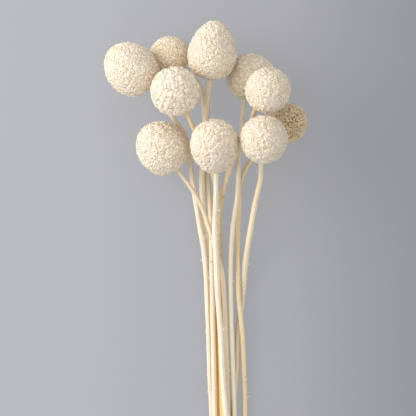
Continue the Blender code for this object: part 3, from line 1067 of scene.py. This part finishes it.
def twineCurve():
    # The loop wound turn beside turn, half a thickness out from it and never under the table.
    corners, middle, low, high = tieLoop()
    closed = np.vstack([corners, corners[:1]])
    length = lengthsAlong(closed)
    half = twineMake["thickness"] / 2
    count = twineMake["turns"] * twineMake["pointsPerTurn"]
    line = []
    for step in range(count + 1):
        share = step / count
        at = (share * twineMake["turns"] % 1.0) * length[-1]
        place = np.array([np.interp(at, length, closed[:, k]) for k in range(3)])
        outward = place - middle
        outward[1] = 0
        place += unit(outward) * half
        place[1] = low + half + share * (high - low - 2 * half)
        place[2] = max(place[2], half)
        line.append(place)
    return polyLine("twine_line", np.array(line), np.ones(len(line)))


def buildTwineTree(hair):
    tree = GeometryTree("twisted twine", {
        "Thickness": "Float", "Lay": "Float", "Fibre Density": "Float", "Material": "Material",
    })
    half = tree.given("Thickness") * 0.5
    along = tree.add("GeometryNodeSplineParameter", {}, {}, output="Length")
    line = tree.add("GeometryNodeSetCurveTilt", {}, {
        "Curve": tree.given(), "Tilt": along / tree.given("Lay") * (2 * math.pi),
    })
    plies = []
    for turn in turnsOf(twineMake["plies"]):
        across = twineMake["plyPlace"] * math.cos(turn)
        upward = twineMake["plyPlace"] * math.sin(turn)
        plies.append(tree.add("GeometryNodeTransform", {}, {
            "Geometry": tree.circle(twineMake["plySides"], half * twineMake["plyRadius"]),
            "Translation": tree.combined(half * across, half * upward, 0.0),
        }))
    body = tree.add("GeometryNodeCurveToMesh", {}, {
        "Curve": line, "Profile Curve": tree.joined(plies), "Fill Caps": True,
    })
    fibres = copiesOver(tree, body, hair, tree.given("Fibre Density"), twineMake["fibreLength"],
                        seed=2, turnSeed=6, stray=twineMake["fibreStray"])
    whole = tree.realized(tree.joined([body, fibres]))
    tree.finish(whole)
    return tree


print("twine")
mesh = buildTwineTree(hair).bake(twineCurve(), {
    "Thickness": twineMake["thickness"],
    "Lay": twineMake["lay"],
    "Fibre Density": twineMake["fibreDensity"],
    "Material": juteTwine,
})
addPiece("twine", mesh, juteTwine, "tie")

for thing in helpers:
    bpy.data.objects.remove(thing, do_unlink=True)


# Studio

studio = dict(
    floorSize=6.0,
    pictureWidth=228.8 * mm,  # what the picture takes in, level with the bunch
    leftMargin=57.2 * mm,  # from the picture's left edge to the bunch
    topMargin=11.5 * mm,  # from the picture's top edge to the highest head
    cameraHeight=2.2,
    level=20 * mm,  # where the picture has that width
    sensor=36.0,
    lights=dict(  # place and target are counted from the point of the floor under the camera
        key=dict(place=(-0.80, 0.26, 0.40), target=(0.0, 0.03, 0.02), size=0.7, power=6.1,
                 colour=(1.0, 0.965, 0.985)),
        top=dict(place=(-0.75, 0.2, 1.1), target=(0.0, 0.0, 0.0), size=1.2, power=3.2,
                 colour=(1.0, 0.99, 0.99)),
    ),
    airColour=(0.93, 0.93, 0.95, 1),  # the even light from all round
    airStrength=0.88,
)


def makeFloor():
    body = bmesh.new()
    bmesh.ops.create_grid(body, x_segments=1, y_segments=1, size=studio["floorSize"] / 2)
    mesh = finishMesh("floor", body)
    mesh.materials.append(floorMaterial())
    floor = newObject("floor", mesh)


def makeCamera():
    low, high = cadBox
    half = studio["pictureWidth"] / 2
    x = low.x - studio["leftMargin"] + half
    y = high.y + studio["topMargin"] - half
    data = bpy.data.cameras.new("camera")
    data.sensor_width = studio["sensor"]
    distance = studio["cameraHeight"] - studio["level"]
    data.lens = studio["sensor"] * distance / studio["pictureWidth"]
    camera = newObject("camera", data)
    camera.location = (x, y, studio["cameraHeight"])
    bpy.context.scene.camera = camera
    return Vector((x, y, 0))


def addLight(name, middle, place, target, size, power, colour):
    data = bpy.data.lights.new(name, "AREA")
    data.shape = "DISK"
    data.size = size
    data.energy = power
    data.color = colour
    light = newObject(name, data)
    light.location = middle + Vector(place)
    beam = middle + Vector(target) - light.location
    light.rotation_euler = beam.to_track_quat("-Z", "Y").to_euler()


def makeWorld():
    world = bpy.data.worlds.new("studio")
    world.use_nodes = True
    air = world.node_tree.nodes["Background"]
    air.inputs["Color"].default_value = studio["airColour"]
    air.inputs["Strength"].default_value = studio["airStrength"]
    bpy.context.scene.world = world


print("studio")
makeFloor()
middle = makeCamera()
for name, light in studio["lights"].items():
    addLight(name, middle, **light)
makeWorld()
bpy.context.scene.view_settings.view_transform = "Standard"
